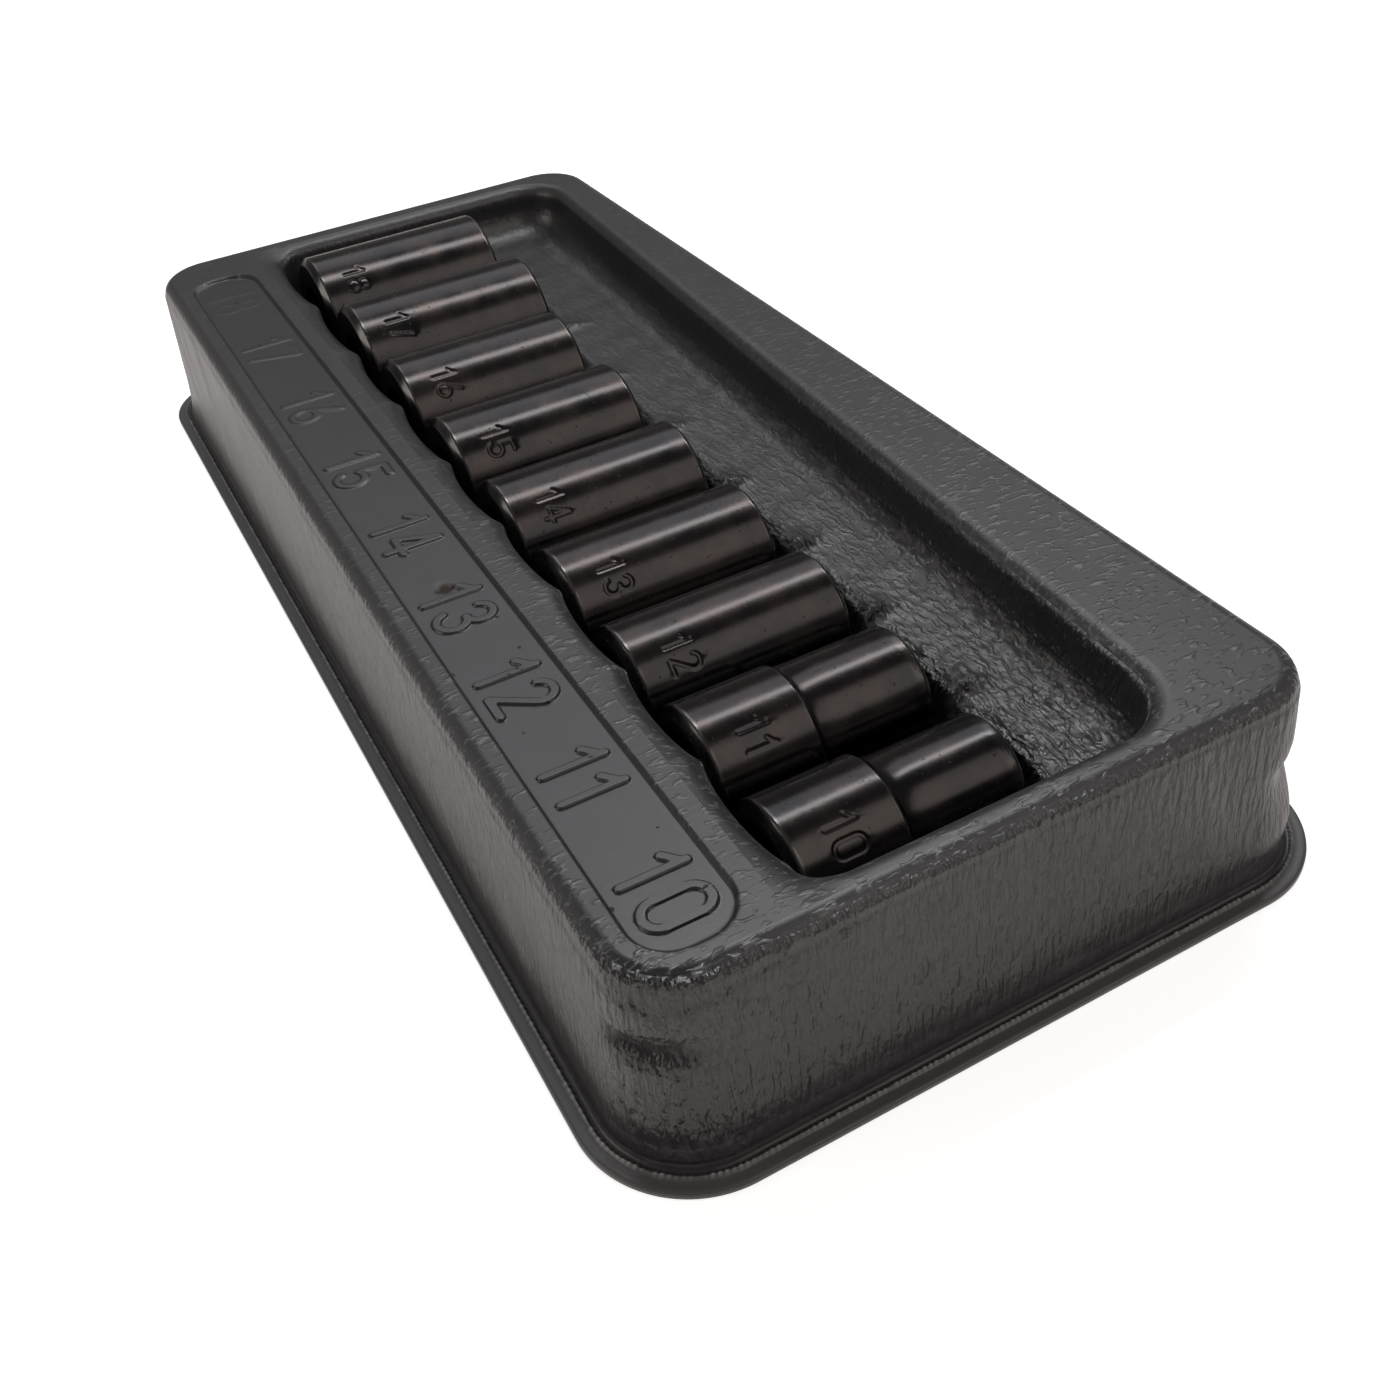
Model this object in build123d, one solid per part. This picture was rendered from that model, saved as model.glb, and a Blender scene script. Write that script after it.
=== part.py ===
from build123d import *
import os
from math import atan, degrees, radians, sqrt, tan

# A formed plastic drawer tray with nine loose sockets lying in it. Millimetres, +Z up.
# The origin is the centre of the flange's underside. +X runs towards the smallest socket,
# and -Y towards the label strip and the person who reads it.

# The formed sheet
TRAY_LENGTH = 230.0
TRAY_WIDTH = 103.0
TRAY_HEIGHT = 29.1
SHEET = 1.2
FLANGE_CORNER = 15.0
WALL_FOOT_INSET = 3.3        # from the flange's edge to the foot of the wall
WALL_TOP_INSET = 5.4         # from the flange's edge to the top of the wall
FOOT_RADIUS = 1.2            # hollow round between flange and wall
RIM_RADIUS = 2.6             # round over the top of the outer walls

# The pocket, at the level of the rim. A land is the flat between two rounded edges of the rim.
NEAR_LAND = 0.4
FAR_LAND = 1.9
BACK_LAND = 8.3              # at x = 0
POCKET_BACK_SLOPE = -0.051   # the back wall comes nearer to the front at the small sockets
POCKET_FRONT_CORNER = 4.5
POCKET_BACK_CORNER = 8.5
POCKET_DRAFT = 4.0           # degrees
POCKET_RIM_RADIUS = 2.6      # round over the pocket's edge
LEDGE_DEPTH = 9.4            # from the rim down to the floor of the finger space
LEDGE_RADIUS = 3.0           # hollow round between ledge and pocket wall

# The label strip, a shallow recess in front of the pocket
STRIP_NEAR_LAND = 1.6
STRIP_FAR_LAND = 10.6
STRIP_FRONT_LAND = 1.5
STRIP_BACK_LAND = 3.8
STRIP_WIDTH = 12.8
STRIP_CORNER = 6.0
STRIP_DEPTH = 0.6

# The sockets: size across flats, drive end diameter, nose diameter, length.
# A nose as wide as the drive end makes a straight socket.
SOCKETS = [
    (10, 18.5, 16.0, 32.5),
    (11, 19.0, 17.5, 32.5),
    (12, 19.0, 19.0, 32.5),
    (13, 20.0, 20.0, 32.5),
    (14, 21.0, 21.0, 32.5),
    (15, 22.0, 22.0, 32.5),
    (16, 23.0, 23.0, 32.5),
    (17, 24.5, 24.5, 36.0),
    (18, 25.0, 25.0, 36.0),
]
SOCKET_GAP = 0.9             # between neighbours, at their widest
NEAR_END_GAP = 5.35          # from the first socket to the pocket's near edge
FAR_END_GAP = 0.5            # least room from the last socket to the pocket's far edge
DRIVE_GAP = 2.8              # from the pocket's front edge to the drive ends, all in one line
SOCKET_BOTTOM = 6.0          # lowest line of every socket above the bench
DRIVE_SQUARE = 9.6           # square hole for a 3/8 inch drive
DRIVE_DEPTH = 11.0
DRIVE_LEAD_IN = 0.3          # how far the countersink reaches past the square's corners
DRIVE_CHAMFER = 1.1
NOSE_CHAMFER = 0.6
NOSE_LEAD_IN = 0.3           # how far the countersink reaches past the hexagon's corners
HEX_CLEARANCE = 0.15         # across flats, over the nominal size
HEX_DEPTH = 12.0
CORE_BORE = 8.2              # round hole that joins the square and the hexagon
THICK_LENGTH = 15.3          # length of the thick part of a stepped socket
STEP_BEVEL = 0.3
STEP_SWEEP = 4.0             # length of the hollow curve from the step to the nose

# The cradles
CRADLE_CLEARANCE = 0.3       # all round a socket
CRADLE_END = 3.6             # how far the bowed ends reach past a socket
CRADLE_END_RADIUS = 35.0     # of the bow, in plan
CUSP_DROP = 4.2              # ridges between cradles, below the smallest socket's axis

# Where these sizes put the pocket, its ledge, the label strip and the drive ends
OUTER_ROUND = WALL_TOP_INSET + RIM_RADIUS    # from the flange's edge to where the rim is flat
STRIP_NEAR_X = TRAY_LENGTH / 2 - OUTER_ROUND - STRIP_NEAR_LAND
STRIP_FAR_X = OUTER_ROUND + STRIP_FAR_LAND - TRAY_LENGTH / 2
STRIP_FRONT_Y = OUTER_ROUND + STRIP_FRONT_LAND - TRAY_WIDTH / 2
STRIP_BACK_Y = STRIP_FRONT_Y + STRIP_WIDTH
POCKET_NEAR_X = TRAY_LENGTH / 2 - OUTER_ROUND - NEAR_LAND - POCKET_RIM_RADIUS
POCKET_FAR_X = OUTER_ROUND + FAR_LAND + POCKET_RIM_RADIUS - TRAY_LENGTH / 2
POCKET_FRONT_Y = STRIP_BACK_Y + STRIP_BACK_LAND + POCKET_RIM_RADIUS
POCKET_BACK_Y = TRAY_WIDTH / 2 - OUTER_ROUND - BACK_LAND - POCKET_RIM_RADIUS
DRIVE_FACE_Y = POCKET_FRONT_Y + DRIVE_GAP
LEDGE_HEIGHT = TRAY_HEIGHT - LEDGE_DEPTH


def socket_places():
    """Size, drive radius, nose radius, length, x and axis height of each socket that fits the row."""
    places = []
    side = POCKET_NEAR_X - NEAR_END_GAP
    for size, drive, nose, length in SOCKETS:
        if side - drive < POCKET_FAR_X + FAR_END_GAP:
            break
        places.append((size, drive / 2, nose / 2, length, side - drive / 2, SOCKET_BOTTOM + drive / 2))
        side -= drive + SOCKET_GAP
    return places


def outer_block(inset):
    """The walls and the rim as a closed block, drawn in by an inset."""
    draft = degrees(atan((WALL_TOP_INSET - WALL_FOOT_INSET) / TRAY_HEIGHT))
    edge = WALL_FOOT_INSET + inset
    foot = RectangleRounded(TRAY_LENGTH - 2 * edge, TRAY_WIDTH - 2 * edge, FLANGE_CORNER - edge)
    block = extrude(foot, amount=TRAY_HEIGHT - inset, taper=draft)
    return fillet(block.faces().sort_by(Axis.Z)[-1].edges(), RIM_RADIUS - inset)


def back_wall(x):
    """Where the pocket's slanted back wall stands at x, at the level of the rim."""
    return POCKET_BACK_Y + POCKET_BACK_SLOPE * x


def pocket_space(inset):
    """The open space from the rim down to the ledge, widened by an inset."""
    near = POCKET_NEAR_X + inset
    far = POCKET_FAR_X - inset
    front = POCKET_FRONT_Y - inset
    outline = make_face(
        Polyline(
            (near, front),
            (near, back_wall(near) + inset),
            (far, back_wall(far) + inset),
            (far, front),
            close=True,
        )
    )
    corners = outline.vertices().sort_by(Axis.Y)
    outline = fillet(corners[:2], POCKET_FRONT_CORNER + inset)
    corners = outline.vertices().sort_by(Axis.Y)[-2:]
    outline = fillet(corners, POCKET_BACK_CORNER + inset)
    outline = Pos(0, 0, TRAY_HEIGHT - inset) * outline
    space = extrude(outline, amount=LEDGE_DEPTH, dir=(0, 0, -1), taper=POCKET_DRAFT)
    return fillet(space.faces().sort_by(Axis.Z)[0].edges(), LEDGE_RADIUS + inset)


def cradle_space(place, inset):
    """One socket's cradle: half round below its axis, straight up above it, bowed at both ends."""
    size, drive_radius, nose_radius, length, x, axis_height = place
    radius = drive_radius + CRADLE_CLEARANCE + inset
    front = DRIVE_FACE_Y - CRADLE_END
    back = DRIVE_FACE_Y + length + CRADLE_END
    front_bow = Pos(x, front + CRADLE_END_RADIUS) * Circle(CRADLE_END_RADIUS + inset)
    back_bow = Pos(x, back - CRADLE_END_RADIUS) * Circle(CRADLE_END_RADIUS + inset)
    top = 2 * TRAY_HEIGHT
    reach = extrude(front_bow & back_bow, amount=top)
    across = Plane(origin=(x, front - inset, axis_height), x_dir=(1, 0, 0), z_dir=(0, 1, 0))
    section = Circle(radius) + Rectangle(2 * radius, top, align=(Align.CENTER, Align.MAX))
    return extrude(across * section, amount=back - front + 2 * inset) & reach


def ridge_spaces(inset):
    """The open space over each ridge between two neighbouring cradles."""
    places = socket_places()
    cusp = places[0][5] - CUSP_DROP
    front = POCKET_FRONT_Y - inset + (TRAY_HEIGHT - cusp) * tan(radians(POCKET_DRAFT))
    spaces = []
    for here, there in zip(places, places[1:]):
        back = DRIVE_FACE_Y + min(here[3], there[3])
        centre = Pos((here[4] + there[4]) / 2, (front + back) / 2, cusp - inset)
        aligned = (Align.CENTER, Align.CENTER, Align.MIN)
        spaces.append(centre * Box(here[4] - there[4], back - front, TRAY_HEIGHT, align=aligned))
    return spaces


def strip_space(inset):
    """The shallow recess of the label strip, widened by an inset."""
    length = STRIP_NEAR_X - STRIP_FAR_X + 2 * inset
    width = STRIP_BACK_Y - STRIP_FRONT_Y + 2 * inset
    centre = Pos((STRIP_NEAR_X + STRIP_FAR_X) / 2, (STRIP_FRONT_Y + STRIP_BACK_Y) / 2)
    outline = centre * RectangleRounded(length, width, STRIP_CORNER + inset)
    return extrude(Pos(0, 0, TRAY_HEIGHT - STRIP_DEPTH - inset) * outline, amount=TRAY_HEIGHT)


def formed_surface(inset):
    """The tray as a solid form, with every face moved inwards by an inset."""
    form = outer_block(inset) - pocket_space(inset)
    mouth = form.faces().filter_by(Plane.XY).sort_by(Axis.Z)[-1].inner_wires()[0].edges()
    form = fillet(mouth, POCKET_RIM_RADIUS - inset)
    form -= ridge_spaces(inset)
    form -= [cradle_space(place, inset) for place in socket_places()]
    return form - strip_space(inset)


def tray():
    """The formed sheet: the outer form less the same form one sheet further in."""
    flange = extrude(RectangleRounded(TRAY_LENGTH, TRAY_WIDTH, FLANGE_CORNER), amount=SHEET)
    body = flange + formed_surface(0)
    level_faces = body.faces().filter_by(Plane.XY)
    flange_top = [face for face in level_faces if abs(face.center().Z - SHEET) < SHEET / 2]
    body = fillet(flange_top[0].inner_wires()[0].edges(), FOOT_RADIUS)
    return body - formed_surface(SHEET)


def socket(place):
    """A socket on its side: square hole at the front, hexagon at the back."""
    size, drive_radius, nose_radius, length, x, axis_height = place
    outline = [
        Line((0, 0), (drive_radius - DRIVE_CHAMFER, 0)),
        Line((drive_radius - DRIVE_CHAMFER, 0), (drive_radius, DRIVE_CHAMFER)),
    ]
    thick_end = (drive_radius, DRIVE_CHAMFER)
    if nose_radius < drive_radius:
        step = (drive_radius - STEP_BEVEL, THICK_LENGTH)
        sweep_end = (nose_radius, THICK_LENGTH + STEP_SWEEP)
        outline.append(Line(thick_end, (drive_radius, THICK_LENGTH - STEP_BEVEL)))
        outline.append(Line((drive_radius, THICK_LENGTH - STEP_BEVEL), step))
        outline.append(TangentArc(sweep_end, step, tangent=(0, -1)))
        thick_end = sweep_end
    outline.append(Line(thick_end, (nose_radius, length - NOSE_CHAMFER)))
    outline.append(Line((nose_radius, length - NOSE_CHAMFER), (nose_radius - NOSE_CHAMFER, length)))
    outline.append(Line((nose_radius - NOSE_CHAMFER, length), (0, length)))
    outline.append(Line((0, length), (0, 0)))
    body = revolve(Plane.XZ * make_face(outline), Axis.Z)
    body -= extrude(Rectangle(DRIVE_SQUARE, DRIVE_SQUARE), amount=DRIVE_DEPTH)
    mouth = DRIVE_SQUARE / sqrt(2) + DRIVE_LEAD_IN
    body -= Cone(mouth, 0, mouth, align=(Align.CENTER, Align.CENTER, Align.MIN))
    flats = (size + HEX_CLEARANCE) / 2
    hexagon = RegularPolygon(flats, 6, major_radius=False)
    body -= extrude(Pos(0, 0, length - HEX_DEPTH) * hexagon, amount=HEX_DEPTH)
    mouth = 2 * flats / sqrt(3) + NOSE_LEAD_IN
    body -= Pos(0, 0, length) * Cone(0, mouth, mouth, align=(Align.CENTER, Align.CENTER, Align.MAX))
    body -= Cylinder(CORE_BORE / 2, length, align=(Align.CENTER, Align.CENTER, Align.MIN))
    return Pos(x, DRIVE_FACE_Y, axis_height) * Rot(X=-90) * body


os.makedirs("parts", exist_ok=True)
export_step(tray(), "parts/tray.step")
for place in socket_places():
    export_step(socket(place), f"parts/socket_{place[0]}mm.step")
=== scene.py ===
import logging
import math
from collections.abc import Callable
from dataclasses import dataclass
from enum import Enum

import bpy
import numpy as np
from mathutils import Matrix, Vector


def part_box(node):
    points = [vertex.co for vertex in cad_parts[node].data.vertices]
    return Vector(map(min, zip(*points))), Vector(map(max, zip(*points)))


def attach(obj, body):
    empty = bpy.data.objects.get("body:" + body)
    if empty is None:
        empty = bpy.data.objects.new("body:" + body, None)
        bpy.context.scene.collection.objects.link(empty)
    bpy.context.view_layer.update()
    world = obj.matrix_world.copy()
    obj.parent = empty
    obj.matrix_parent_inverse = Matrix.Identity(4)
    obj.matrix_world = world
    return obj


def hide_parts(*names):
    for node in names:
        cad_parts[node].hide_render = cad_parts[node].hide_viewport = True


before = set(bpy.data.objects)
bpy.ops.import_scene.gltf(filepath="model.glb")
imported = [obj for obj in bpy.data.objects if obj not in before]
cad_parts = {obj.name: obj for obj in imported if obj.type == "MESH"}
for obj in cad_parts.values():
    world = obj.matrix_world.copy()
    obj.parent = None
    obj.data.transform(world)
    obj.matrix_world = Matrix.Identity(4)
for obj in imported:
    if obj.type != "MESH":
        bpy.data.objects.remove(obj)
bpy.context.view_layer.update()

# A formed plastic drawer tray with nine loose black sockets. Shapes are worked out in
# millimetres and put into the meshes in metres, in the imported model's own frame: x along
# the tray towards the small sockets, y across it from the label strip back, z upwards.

LOG = logging.getLogger("socket_tray")
MM = 0.001
PHOTO_SIDE = 1400  # pixels
FAR_OFF = 99.0  # a height or distance beyond every other
Grid = np.ndarray  # numbers worked out as a whole array
PRINCIPLED = "Principled BSDF"
Link = bpy.types.NodeSocket  # where a material's node takes or gives a value


# ---------------- numbers and curves

def ramp(value: Grid, low: float, high: float) -> Grid:
    """Smooth step, 3t^2 - 2t^3 of the share t of the way from low to high, held at both ends."""
    share = np.clip((value - low) / (high - low), 0.0, 1.0)
    return share * share * (3.0 - 2.0 * share)


def band(value: Grid, rising: tuple[float, float], falling: tuple[float, float]) -> Grid:
    """1 between two smooth steps, up over the first range and down over the second."""
    return ramp(value, *rising) * ramp(value, *falling)


def bell(value: Grid, middle: float, spread: float) -> Grid:
    """Bell curve, e to the power of -((value - middle) / spread)^2."""
    return np.exp(-(((value - middle) / spread) ** 2))


def stations(knots: list[float], steps: list[float]) -> Grid:
    """Grid lines between knots, each stretch divided evenly at about its own step.

    Args:
        knots: Rising positions that all get a line.
        steps: One spacing for each stretch between two knots.

    Returns:
        The rising line positions.
    """
    runs = [
        np.linspace(start, end, max(2, round((end - start) / step) + 1))[:-1]
        for start, end, step in zip(knots, knots[1:], steps)
    ]
    return np.concatenate([*runs, [knots[-1]]])


def rise(depth: Grid, radius: Grid, draft: float) -> Grid:
    """Hollow round that runs from a level floor into a drafted wall, radius - sqrt(radius^2 - run^2).

    Args:
        depth: Distance inside the line where wall and floor would meet without the round.
        radius: Radius of the hollow.
        draft: Slope of the wall from the vertical, in radians.

    Returns:
        How far the surface climbs above the floor; far below it where the wall takes over.
    """
    centre = radius * math.tan(math.pi / 4 - draft / 2)
    reach = radius * math.cos(draft)
    run = np.clip(centre - depth, 0.0, reach)
    return np.where(centre - depth > reach, -FAR_OFF, radius - np.sqrt(radius**2 - run**2))


def shoulder(depth: Grid, top: Grid, radius: float, draft: float) -> Grid:
    """Flat top, round edge, then a drafted wall without end.

    The round is top - radius + sqrt(radius^2 - run^2); its centre lies so that the wall,
    if it went on upwards, would meet the level of the top at depth 0.

    Args:
        depth: Distance inside the edge of the opening.
        top: Height of the flat top.
        radius: Radius of the round edge.
        draft: Slope of the wall from the vertical, in radians.

    Returns:
        The height at each depth.
    """
    centre = -radius * (1.0 - math.sin(draft)) / math.cos(draft)
    reach = radius * math.cos(draft)
    run = np.clip(depth - centre, 0.0, reach)
    past = np.maximum(depth - centre - reach, 0.0)
    return top - radius + np.sqrt(radius**2 - run**2) - past / math.tan(draft)


def corner(side: Grid, end: Grid, radius: float) -> Grid:
    """Distance inside a rounded corner: the nearer edge's, or radius - hypot near the corner.

    Args:
        side: Distance inside one edge.
        end: Distance inside the other edge.
        radius: Radius of the corner in plan.

    Returns:
        Distance inside the outline.
    """
    inner_side = radius - side
    inner_end = radius - end
    rounded = radius - np.hypot(inner_side, inner_end)
    return np.where((inner_side > 0) & (inner_end > 0), rounded, np.minimum(side, end))


def inside_four(near: Grid, far: Grid, front: Grid, back: Grid, radii: tuple[float, float]) -> Grid:
    """Distance inside four edges with rounded corners, the least over the corners.

    Args:
        near: Distance inside the edge at the small sockets' end.
        far: Distance inside the edge at the other end.
        front: Distance inside the front edge.
        back: Distance inside the back edge.
        radii: Radius of the front corners and of the back ones.

    Returns:
        Distances, below zero outside.
    """
    sides = list(zip((front, back), radii))
    return np.minimum.reduce([corner(end, side, radius) for end in (near, far) for side, radius in sides])


def bend_lines(p: Grid, q: Grid, full: float, edge_p: float, edge_q: float) -> tuple:
    """Turns square grid lines round a corner's centre: a line at max(p, q) goes onto that radius.

    The angle is 45 degrees times the smaller over the larger. The bend fades out from full
    to the edge of the piece, so the edge keeps its place.

    Args:
        p: Distance from the corner's centre towards one side.
        q: Distance towards the other side.
        full: Distance up to which the bend is whole.
        edge_p: Where the piece ends along p.
        edge_q: Where the piece ends along q.

    Returns:
        The bent p and q.
    """
    inside = (p > 0) & (q > 0)
    radius = np.maximum(np.maximum(p, q), 1e-6)
    turn = np.pi / 4 * np.minimum(p, q) / radius
    along = radius * np.cos(turn)
    across = radius * np.sin(turn)
    bent_p = np.where(p >= q, along, across)
    bent_q = np.where(p >= q, across, along)
    fade_p = np.clip((edge_p - p) / (edge_p - full), 0.0, 1.0)
    fade_q = np.clip((edge_q - q) / (edge_q - full), 0.0, 1.0)
    share = np.where(inside, np.minimum(fade_p, fade_q), 0.0)
    return p + share * (bent_p - p), q + share * (bent_q - q)


def drift(x: Grid, y: Grid, z: Grid) -> Grid:
    """Slow waviness of a formed sheet, a sum of six sines of x, y and z, about -1 to 1.

    Args:
        x: Along the tray.
        y: Across the tray.
        z: Heights.

    Returns:
        One value for each place.
    """
    waves = [  # radians for each millimetre of x, y and z, and a phase
        (0.31, 0.17, 0.23, 0.4), (0.13, 0.41, 0.11, 2.1), (0.57, 0.29, 0.37, 4.0),
        (0.23, 0.71, 0.19, 1.2), (0.83, 0.13, 0.53, 5.3), (0.41, 0.93, 0.31, 3.1),
    ]
    return sum(np.sin(a * x + b * y + c * z + phase) for a, b, c, phase in waves) / 3.0


def wrinkle(x: Grid, y: Grid) -> Grid:
    """Short folds of a formed sheet, the product of two bent sine waves, about -1 to 1.

    Args:
        x: Along the tray.
        y: Across the tray.

    Returns:
        One value for each place.
    """
    across = np.sin(1.7 * x + 0.8 * y + 1.7 * np.sin(0.45 * y + 0.3 * x))
    along = np.sin(1.1 * y - 0.7 * x + 1.4 * np.sin(0.5 * x - 0.2 * y))
    return across * along


# ---------------- meshes

def grid_faces(rows: int, columns: int, closed: bool = False) -> Grid:
    """Four-sided faces over a grid of points counted row by row.

    Args:
        rows: Number of rows.
        columns: Number of points in a row.
        closed: Whether the last row joins the first and each row closes on itself.

    Returns:
        An array of four point numbers for each face.
    """
    index = np.arange(rows * columns).reshape(rows, columns)
    if closed:
        index = np.vstack([index, index[:1]])
        index = np.hstack([index, index[:, :1]])
    quads = [index[:-1, :-1], index[:-1, 1:], index[1:, 1:], index[1:, :-1]]
    return np.stack(quads, -1).reshape(-1, 4)


def stacked(x: Grid, y: Grid, z: Grid) -> Grid:
    """Three grids as one list of points, row by row."""
    return np.stack([x, y, z], -1).reshape(-1, 3)


def linked(name: str, data: bpy.types.ID) -> bpy.types.Object:
    """A new object of the scene.

    Args:
        name: Its name.
        data: Its mesh, camera or light.

    Returns:
        The object.
    """
    thing = bpy.data.objects.new(name, data)
    bpy.context.scene.collection.objects.link(thing)
    return thing


def make_piece(
    name: str, points: Grid, faces: list, crease: float, **marks: Grid
) -> bpy.types.Object:
    """A smooth-shaded mesh object at the origin, its points given in millimetres.

    Args:
        name: Name of the piece.
        points: Array of x, y and z.
        faces: Lists of point numbers.
        crease: Angle in degrees above which an edge stays sharp.
        marks: Float values for each point, kept as attributes for the materials.

    Returns:
        The new object, linked to the scene.
    """
    mesh = bpy.data.meshes.new(name)
    mesh.from_pydata((points * MM).tolist(), [], faces)
    mesh.shade_smooth()
    mesh.set_sharp_from_angle(angle=math.radians(crease))
    for mark, values in marks.items():
        attribute = mesh.attributes.new(mark, "FLOAT", "POINT")
        attribute.data.foreach_set("value", values.astype(np.float32).ravel())
    mesh.validate()
    return linked(name, mesh)


def thinned(count: int, step: int) -> Grid:
    """Every so-many-th of the numbers below a count, and the last one."""
    return np.unique(np.append(np.arange(0, count, step), count - 1))


def slab(x: Grid, y: Grid, z: Grid, height: Callable, rows: Grid, columns: Grid) -> tuple:
    """A sheet with a fine top, a coarser underside and walls that join them.

    The underside has a point under the chosen rows and columns of the top only. A wall
    steps from one underside point to the next where the top has several points.

    Args:
        x: The top's points, along the tray.
        y: Across the tray.
        z: Their heights.
        height: Gives the underside's height from x, y and the sheet's thickness.
        rows: The top's row numbers that the underside has, first and last among them.
        columns: The same for columns.

    Returns:
        The points, the top's first, and the faces as lists of point numbers.
    """
    chosen = np.ix_(rows, columns)
    below = stacked(x[chosen], y[chosen], height(x[chosen], y[chosen], SHEET.thickness))
    shape = x.shape
    top = np.arange(shape[0] * shape[1]).reshape(shape)
    under = np.arange(len(rows) * len(columns)).reshape(len(rows), len(columns)) + top.size
    faces = grid_faces(*shape).tolist()
    faces += (grid_faces(len(rows), len(columns))[:, ::-1] + top.size).tolist()
    below_row = np.searchsorted(rows, np.arange(shape[0]), side="right") - 1
    below_column = np.searchsorted(columns, np.arange(shape[1]), side="right") - 1
    edges = [
        (top[0], under[0][below_column]),
        (top[:, -1], under[:, -1][below_row]),
        (top[-1][::-1], under[-1][below_column][::-1]),
        (top[:, 0][::-1], under[:, 0][below_row][::-1]),
    ]
    for upper, lower in edges:
        wall = np.stack([lower[:-1], lower[1:], upper[1:], upper[:-1]], -1)
        same = wall[:, 0] == wall[:, 1]
        faces += wall[~same].tolist() + wall[same][:, 1:].tolist()
    return np.vstack([stacked(x, y, z), below]), faces


# ---------------- numerals

class Stroke(Enum):
    """Shapes that the strokes of a numeral are made of."""

    LINE = "line"
    ARC = "arc"


GLYPH_HEIGHT = 7.9  # between the middles of the topmost and lowest strokes
GLYPH_STEP = 5.4  # from the first digit's middle to the second's
ARC_POINTS = 25
# A line gives its two ends; an arc its centre, radius, first and last angle in degrees.
GLYPHS = {
    "0": [(Stroke.ARC, 0, 5.95, 1.95, 0, 180), (Stroke.LINE, -1.95, 5.95, -1.95, 1.95),
          (Stroke.ARC, 0, 1.95, 1.95, 180, 360), (Stroke.LINE, 1.95, 1.95, 1.95, 5.95)],
    "1": [(Stroke.LINE, 0, 7.9, 0, 0), (Stroke.LINE, 0, 7.4, -1.9, 5.8)],
    "2": [(Stroke.ARC, 0, 5.95, 1.95, -30, 165), (Stroke.LINE, 1.69, 4.97, -1.9, 0),
          (Stroke.LINE, -1.9, 0, 1.95, 0)],
    "3": [(Stroke.ARC, 0, 5.95, 1.85, -90, 165), (Stroke.ARC, 0, 2.05, 2.05, -165, 90)],
    "4": [(Stroke.LINE, 0.7, 7.9, 0.7, 0), (Stroke.LINE, 0.4, 7.9, -2.1, 2.1),
          (Stroke.LINE, -2.1, 2.1, 2.1, 2.1)],
    "5": [(Stroke.LINE, -1.5, 7.9, 1.7, 7.9), (Stroke.LINE, -1.5, 7.9, -1.7, 4.3),
          (Stroke.ARC, -0.1, 2.2, 2.15, -155, 130)],
    "6": [(Stroke.ARC, 0, 2.0, 2.0, 0, 360), (Stroke.LINE, -1.85, 2.9, 0.9, 7.9)],
    "7": [(Stroke.LINE, -1.9, 7.9, 1.95, 7.9), (Stroke.LINE, 1.95, 7.9, -0.6, 0)],
    "8": [(Stroke.ARC, 0, 6.05, 1.75, 0, 360), (Stroke.ARC, 0, 2.1, 2.05, 0, 360)],
}


def numeral_distance(text: str, across: Grid, up: Grid) -> Grid:
    """Distance of each place from the middle of the nearest stroke of a number.

    A stroke is cut into short straight runs; the distance to a run from a to b is that to
    the point a + t (b - a), with t the clipped share of the way along.

    Args:
        text: Digits to write.
        across: Places along the line of writing, 0 at the first digit's middle.
        up: Places towards the top of the digits, 0 at their middle.

    Returns:
        The distances.
    """
    nearest = np.full(across.shape, FAR_OFF)
    for number, digit in enumerate(text):
        for kind, a, b, *rest in GLYPHS[digit]:
            if kind is Stroke.LINE:
                path = np.array([(a, b), rest])
            else:
                radius, first, last = rest
                angle = np.radians(np.linspace(first, last, ARC_POINTS))
                path = np.stack([a + radius * np.cos(angle), b + radius * np.sin(angle)], -1)
            path = path + (number * GLYPH_STEP, -GLYPH_HEIGHT / 2)
            for here, there in zip(path, path[1:]):
                run = there - here
                share = ((across - here[0]) * run[0] + (up - here[1]) * run[1]) / (run @ run)
                share = np.clip(share, 0.0, 1.0)
                gap = np.hypot(across - here[0] - share * run[0], up - here[1] - share * run[1])
                nearest = np.minimum(nearest, gap)
    return nearest


# ---------------- what the frame gives

@dataclass(frozen=True)
class SocketPlace:
    """Where one socket lies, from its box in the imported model, in millimetres."""

    name: str
    size: int
    x: float
    axis: float
    radius: float
    drive_y: float
    length: float

    @property
    def nose_y(self) -> float:
        """The plane of the hexagon's mouth."""
        return self.drive_y + self.length


def socket_places() -> list[SocketPlace]:
    """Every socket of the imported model.

    Returns:
        The sockets' places, the smallest first.
    """
    places = []
    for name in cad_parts:
        if name.startswith("socket_"):
            low, high = (np.array(corner_point) / MM for corner_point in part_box(name))
            size = int(name.removeprefix("socket_").removesuffix("mm"))
            middle = (low + high) / 2
            radius = (high[0] - low[0]) / 2
            places.append(SocketPlace(name, size, middle[0], middle[2], radius, low[1], high[1] - low[1]))
    return sorted(places, key=lambda place: place.size)


TRAY_LOW, TRAY_HIGH = (np.array(corner_point) / MM for corner_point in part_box("tray"))
HALF_LENGTH = (TRAY_HIGH[0] - TRAY_LOW[0]) / 2
HALF_WIDTH = (TRAY_HIGH[1] - TRAY_LOW[1]) / 2
RIM = TRAY_HIGH[2]
PLACES = socket_places()


# ---------------- shape of the formed sheet

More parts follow.
